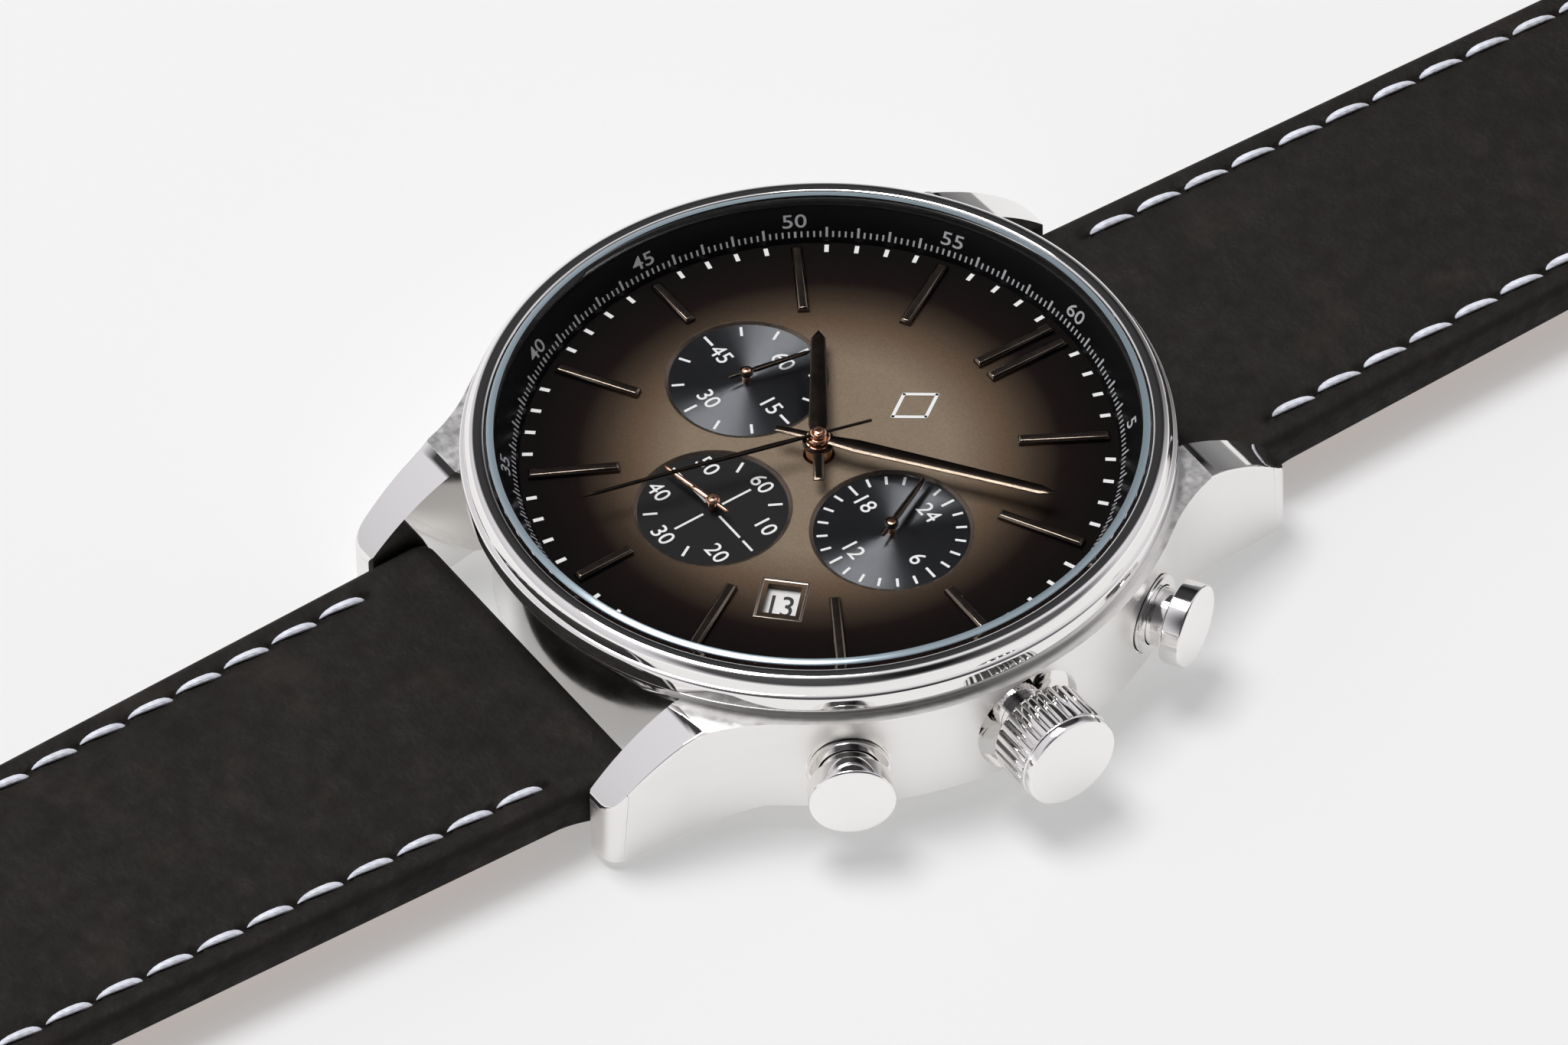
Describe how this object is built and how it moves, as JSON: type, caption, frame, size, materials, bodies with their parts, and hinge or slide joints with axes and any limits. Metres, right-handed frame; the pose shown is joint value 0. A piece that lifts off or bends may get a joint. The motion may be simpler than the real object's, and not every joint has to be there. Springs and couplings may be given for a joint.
{
  "type": "chronograph wristwatch",
  "caption": "Round steel chronograph wristwatch with domed glass, three small counters, date window, crown, two pushers and a stitched leather strap.",
  "frame": {"origin": "centre of the case back's flat outer face", "axes": "+Z out through the dial and the glass, +Y to twelve o'clock along the strap, +X to three o'clock, where the crown is"},
  "size_m": [0.0462, 0.246, 0.0125],
  "materials": {
    "polished_steel": "polished and brushed stainless steel",
    "brushed_steel": "brushed stainless steel",
    "glass": "domed mineral glass",
    "black_rubber": "matte",
    "black_flange": "matte black with grey print",
    "dial_paint": "lacquered, taupe fading to black",
    "bronze_polish": "polished dark bronze plating",
    "white_plastic": "moulded",
    "gilt_brass": "gilt",
    "green_board": "solder mask",
    "cell_steel": "bright steel",
    "copper_coil": "enamelled copper wire",
    "stator_iron": "soft iron",
    "date_white": "printed white",
    "rose_gilt": "polished rose gilt",
    "black_leather": "matte smooth calf leather",
    "tan_leather": "natural lining leather",
    "white_thread": "waxed linen thread"
  },
  "bodies": {
    "case": {"case_middle": "polished_steel", "bezel": "polished_steel", "crystal": "glass", "crystal_gasket": "black_rubber", "flange_ring": "black_flange", "dial": "dial_paint", "hour_markers": "bronze_polish", "movement_holder": "white_plastic", "main_plate": "gilt_brass", "circuit_board": "green_board", "battery": "cell_steel", "battery_clamp": "cell_steel", "motor_coils": "copper_coil", "motor_stators": "stator_iron", "train_bridge": "gilt_brass", "bridge_screws": "cell_steel", "crown_tube": "polished_steel", "pusher_tubes": "polished_steel", "case_back": "brushed_steel", "case_back_gasket": "black_rubber", "spring_bar_12": "cell_steel", "spring_bar_6": "cell_steel", "start_pusher_spring": "cell_steel", "reset_pusher_spring": "cell_steel"},
    "bar_tip_12_left": {"spring_bar_tip_12_left": "cell_steel"},
    "bar_tip_12_right": {"spring_bar_tip_12_right": "cell_steel"},
    "bar_tip_6_left": {"spring_bar_tip_6_left": "cell_steel"},
    "bar_tip_6_right": {"spring_bar_tip_6_right": "cell_steel"},
    "date_ring": {"date_ring": "date_white"},
    "minutes": {"minute_hand": "bronze_polish", "cannon_pinion": "gilt_brass"},
    "hours": {"hour_hand": "bronze_polish", "hour_wheel": "gilt_brass"},
    "motion_work": {"minute_wheel": "gilt_brass"},
    "day_hand": {"hand_24h": "bronze_polish", "wheel_24h": "gilt_brass"},
    "day_idler": {"day_idler": "gilt_brass"},
    "chrono_seconds": {"chrono_seconds_hand": "bronze_polish", "chrono_seconds_arbor": "rose_gilt"},
    "small_seconds": {"small_seconds_hand": "rose_gilt"},
    "chrono_minutes": {"chrono_minutes_hand": "bronze_polish"},
    "setting_pinion": {"setting_pinion": "gilt_brass"},
    "crown": {"crown": "polished_steel", "winding_stem": "cell_steel", "crown_gasket": "black_rubber"},
    "start_pusher": {"start_pusher": "polished_steel", "start_pusher_clip": "cell_steel"},
    "reset_pusher": {"reset_pusher": "polished_steel", "reset_pusher_clip": "cell_steel"},
    "strap_12": {"strap_12_leather": "black_leather", "strap_12_lining": "tan_leather", "strap_12_stitching": "white_thread", "fixed_keeper": "black_leather", "buckle_pin": "polished_steel"},
    "free_keeper": {"free_keeper": "black_leather"},
    "buckle": {"buckle": "polished_steel"},
    "tongue": {"buckle_tongue": "polished_steel"},
    "strap_6": {"strap_6_leather": "black_leather", "strap_6_lining": "tan_leather", "strap_6_stitching": "white_thread"}
  },
  "joints": [
    {"name": "minute_turn", "type": "hinge", "parent": "case", "child": "minutes", "pos_m": [0, 0, 0.0093], "axis": [0, 0, -1], "continuous": true},
    {"name": "hour_turn", "type": "hinge", "parent": "case", "child": "hours", "pos_m": [0, 0, 0.0088], "axis": [0, 0, -1], "continuous": true},
    {"name": "motion_work_turn", "type": "hinge", "parent": "case", "child": "motion_work", "pos_m": [-0.00177, 0.00177, 0.0062], "axis": [0, 0, -1], "continuous": true},
    {"name": "day_idler_turn", "type": "hinge", "parent": "case", "child": "day_idler", "pos_m": [0.00251, -0.00177, 0.0062], "axis": [0, 0, -1], "continuous": true},
    {"name": "day_hand_turn", "type": "hinge", "parent": "case", "child": "day_hand", "pos_m": [0.00725, 0, 0.00825], "axis": [0, 0, -1], "continuous": true},
    {"name": "chrono_seconds_turn", "type": "hinge", "parent": "case", "child": "chrono_seconds", "pos_m": [0, 0, 0.00975], "axis": [0, 0, -1], "continuous": true},
    {"name": "chrono_minutes_turn", "type": "hinge", "parent": "case", "child": "chrono_minutes", "pos_m": [-0.00725, 0, 0.00825], "axis": [0, 0, -1], "continuous": true},
    {"name": "small_seconds_turn", "type": "hinge", "parent": "case", "child": "small_seconds", "pos_m": [0, -0.00725, 0.00825], "axis": [0, 0, -1], "continuous": true},
    {"name": "date_turn", "type": "hinge", "parent": "case", "child": "date_ring", "pos_m": [0, 0, 0.0067], "axis": [0, 0, -1], "continuous": true},
    {"name": "crown_turn", "type": "hinge", "parent": "case", "child": "setting_pinion", "pos_m": [0.01, 0, 0.005], "axis": [1, 0, 0], "continuous": true},
    {"name": "crown_pull", "type": "slide", "parent": "setting_pinion", "child": "crown", "axis": [1, 0, 0], "range_m": [0, 0.0012]},
    {"name": "start_push", "type": "slide", "parent": "case", "child": "start_pusher", "axis": [-0.866, -0.5, 0], "range_m": [0, 0.001], "stiffness_N_per_m": 1500, "springref_m": -0.001, "deforming": ["start_pusher_spring"]},
    {"name": "reset_push", "type": "slide", "parent": "case", "child": "reset_pusher", "axis": [-0.866, 0.5, 0], "range_m": [0, 0.001], "stiffness_N_per_m": 1500, "springref_m": -0.001, "deforming": ["reset_pusher_spring"]},
    {"name": "bar_tip_12_left_slide", "type": "slide", "parent": "case", "child": "bar_tip_12_left", "axis": [1, 0, 0], "range_m": [0, 0.001], "stiffness_N_per_m": 1000, "springref_m": -0.001},
    {"name": "bar_tip_12_right_slide", "type": "slide", "parent": "case", "child": "bar_tip_12_right", "axis": [-1, 0, 0], "range_m": [0, 0.001], "stiffness_N_per_m": 1000, "springref_m": -0.001},
    {"name": "bar_tip_6_left_slide", "type": "slide", "parent": "case", "child": "bar_tip_6_left", "axis": [1, 0, 0], "range_m": [0, 0.001], "stiffness_N_per_m": 1000, "springref_m": -0.001},
    {"name": "bar_tip_6_right_slide", "type": "slide", "parent": "case", "child": "bar_tip_6_right", "axis": [-1, 0, 0], "range_m": [0, 0.001], "stiffness_N_per_m": 1000, "springref_m": -0.001},
    {"name": "strap_12_swing", "type": "hinge", "parent": "case", "child": "strap_12", "pos_m": [0, 0.021, 0.0032], "axis": [1, 0, 0], "range_deg": [-80, 10]},
    {"name": "strap_6_swing", "type": "hinge", "parent": "case", "child": "strap_6", "pos_m": [0, -0.021, 0.0032], "axis": [-1, 0, 0], "range_deg": [-80, 10]},
    {"name": "free_keeper_slide", "type": "slide", "parent": "strap_12", "child": "free_keeper", "axis": [0, 1, 0], "range_m": [-0.008, 0.015]},
    {"name": "buckle_swing", "type": "hinge", "parent": "strap_12", "child": "buckle", "pos_m": [0, 0.096, 0.0036], "axis": [1, 0, 0], "range_deg": [-60, 45]},
    {"name": "tongue_swing", "type": "hinge", "parent": "buckle", "child": "tongue", "pos_m": [0, 0.096, 0.0036], "axis": [1, 0, 0], "range_deg": [0, 70]}
  ],
  "couplings": [
    {"joint": "hour_turn", "follows": "minute_turn", "ratio": 0.083333},
    {"joint": "day_hand_turn", "follows": "minute_turn", "ratio": 0.041667},
    {"joint": "day_idler_turn", "follows": "minute_turn", "ratio": -0.14985},
    {"joint": "motion_work_turn", "follows": "minute_turn", "ratio": -0.31579},
    {"joint": "chrono_minutes_turn", "follows": "chrono_seconds_turn", "ratio": 0.016667}
  ]
}
